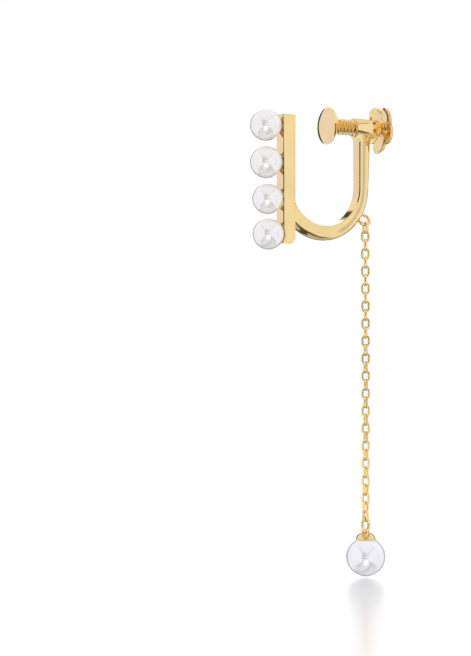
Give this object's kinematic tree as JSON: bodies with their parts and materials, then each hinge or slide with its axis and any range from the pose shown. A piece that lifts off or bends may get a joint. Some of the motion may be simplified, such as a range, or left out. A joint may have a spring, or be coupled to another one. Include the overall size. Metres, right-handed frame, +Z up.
{
  "type": "pearl drop earring",
  "caption": "Screw-clip earring: a gold bar set with pearls, a U-shaped clip with a pad and petal thumb screw, and a long fine chain with a pearl drop.",
  "frame": {"origin": "on the clamp screw's axis at the back face of the pearl bar, where the ear lobe is held", "axes": "+Z up, +X from the pearl bar backwards along the screw's axis to the petal knob, +Y to the side; the bar, the U and the arm lie in the XZ plane"},
  "size_m": [0.0225, 0.007, 0.0692],
  "materials": {
    "polished_gold": "polished yellow gold",
    "chain_gold": "polished yellow gold wire with flattened links",
    "bar_pearl_nacre": "white cultured pearl with a faint pink overtone, high lustre",
    "drop_pearl_nacre": "white cultured pearl with a faint lavender overtone, high lustre"
  },
  "bodies": {
    "clip": {"frame": "polished_gold", "pearl_1": "bar_pearl_nacre", "pearl_2": "bar_pearl_nacre", "pearl_3": "bar_pearl_nacre", "pearl_4": "bar_pearl_nacre", "link_01": "chain_gold", "link_02": "chain_gold", "link_03": "chain_gold", "link_04": "chain_gold", "link_05": "chain_gold", "link_06": "chain_gold", "link_07": "chain_gold", "link_08": "chain_gold", "link_09": "chain_gold", "link_10": "chain_gold", "link_11": "chain_gold", "link_12": "chain_gold", "link_13": "chain_gold", "link_14": "chain_gold", "link_15": "chain_gold", "link_16": "chain_gold", "link_17": "chain_gold", "link_18": "chain_gold", "link_19": "chain_gold", "link_20": "chain_gold", "link_21": "chain_gold", "link_22": "chain_gold", "link_23": "chain_gold", "link_24": "chain_gold", "link_25": "chain_gold", "link_26": "chain_gold", "link_27": "chain_gold", "link_28": "chain_gold", "link_29": "chain_gold", "link_30": "chain_gold", "link_31": "chain_gold", "link_32": "chain_gold", "link_33": "chain_gold", "link_34": "chain_gold"},
    "clamp_pad": {"pad": "polished_gold"},
    "thumb_screw": {"clamp_screw": "polished_gold", "petal_knob": "polished_gold"},
    "drop": {"drop_cap": "polished_gold", "drop_pearl": "drop_pearl_nacre"}
  },
  "joints": [
    {"name": "screw_turn", "type": "hinge", "parent": "clamp_pad", "child": "thumb_screw", "pos_m": [0.006, 0, 0], "axis": [1, 0, 0], "range_deg": [-270, 2460]},
    {"name": "pad_slide", "type": "slide", "parent": "clip", "child": "clamp_pad", "axis": [1, 0, 0], "range_m": [-0.00045, 0.0041]},
    {"name": "drop_swing", "type": "hinge", "parent": "clip", "child": "drop", "pos_m": [0.01221, -0.00045, -0.05784], "axis": [-0.0523, 0.9986, 0], "range_deg": [-60, 60]}
  ],
  "couplings": [
    {"joint": "screw_turn", "follows": "pad_slide", "rad_per_m": 10472}
  ]
}
